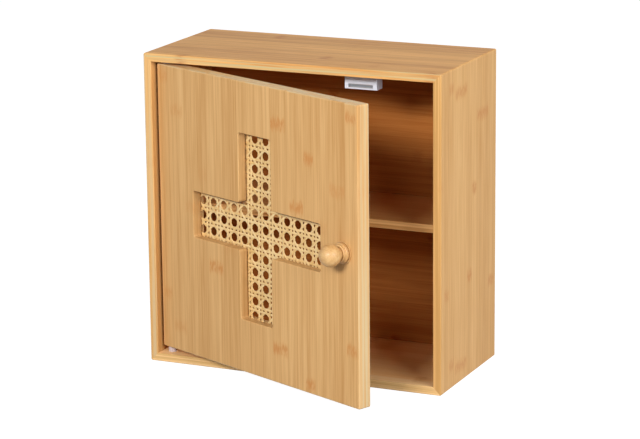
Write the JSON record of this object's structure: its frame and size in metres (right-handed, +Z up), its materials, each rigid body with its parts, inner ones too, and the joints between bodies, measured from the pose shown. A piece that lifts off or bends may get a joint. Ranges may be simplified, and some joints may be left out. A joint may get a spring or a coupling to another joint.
{
  "type": "medicine cabinet",
  "caption": "Small bamboo wall or shelf cabinet with a fixed shelf and an inset hinged door, its cross-shaped cut-out backed by woven cane.",
  "frame": {"origin": "middle of the underside of the box", "axes": "+X to the right seen from the front, +Y to the back, which faces the wall, +Z up"},
  "size_m": [0.3, 0.262, 0.3],
  "materials": {
    "bamboo": "satin clear lacquer",
    "bamboo_door": "satin clear lacquer",
    "plywood": "thin bamboo-faced plywood",
    "dowel_wood": "turned, plain",
    "cane": "split cane, light sheen",
    "white_plastic": "moulded",
    "steel": "zinc plated",
    "magnet": "sintered, matt",
    "brass": "turned"
  },
  "bodies": {
    "cabinet": {"left_side": "bamboo", "right_side": "bamboo", "top_panel": "bamboo", "bottom_panel": "bamboo", "corner_splines": "bamboo", "back_panel": "plywood", "hanging_rail": "bamboo", "shelf": "bamboo", "shelf_dowels": "dowel_wood", "hinge_pin_bottom": "steel", "hinge_pin_top": "steel", "hinge_washer_bottom": "white_plastic", "hinge_washer_top": "white_plastic", "catch_housing": "white_plastic", "catch_magnet": "magnet", "catch_pole_plate_lower": "steel", "catch_pole_plate_upper": "steel", "catch_screws": "steel"},
    "door": {"door_panel": "bamboo_door", "door_bush_bottom": "white_plastic", "door_bush_top": "white_plastic", "cane_webbing": "cane", "strip_left_end": "bamboo_door", "strip_left_lower": "bamboo_door", "strip_left_upper": "bamboo_door", "strip_right_end": "bamboo_door", "strip_right_lower": "bamboo_door", "strip_right_upper": "bamboo_door", "strip_bottom_end": "bamboo_door", "strip_bottom_left": "bamboo_door", "strip_bottom_right": "bamboo_door", "strip_top_end": "bamboo_door", "strip_top_left": "bamboo_door", "strip_top_right": "bamboo_door", "strip_brads": "steel", "knob": "bamboo_door", "knob_insert": "brass", "knob_screw": "steel", "strike_plate": "steel", "strike_screws": "steel"}
  },
  "joints": [
    {"name": "door_hinge", "type": "hinge", "parent": "cabinet", "child": "door", "pos_m": [-0.1324, -0.0578, 0], "axis": [0, 0, -1], "range_deg": [-24, 76]}
  ]
}
